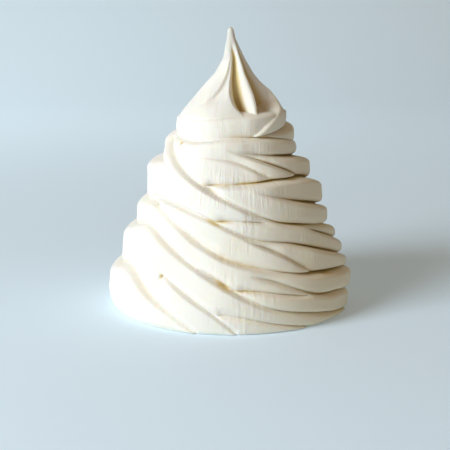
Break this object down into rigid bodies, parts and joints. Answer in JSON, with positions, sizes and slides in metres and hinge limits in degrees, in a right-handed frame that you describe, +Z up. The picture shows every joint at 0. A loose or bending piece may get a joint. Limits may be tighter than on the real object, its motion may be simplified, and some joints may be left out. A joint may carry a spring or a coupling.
{
  "type": "meringue cookie",
  "caption": "Tall baked meringue swirled into a cone of overlapping folded bands, with a collar and a pleated cap drawn up to a thin point.",
  "frame": {"origin": "centre of the flat underside, under the middle of the bounding box", "axes": "+Z up through the point, +X to the right seen from the shown front, -Y towards the viewer of that front"},
  "size_m": [0.1735, 0.173, 0.1945],
  "materials": {
    "meringue": "matte, dry and chalky, warm cream white"
  },
  "bodies": {
    "root": {"meringue": "meringue"}
  },
  "joints": []
}
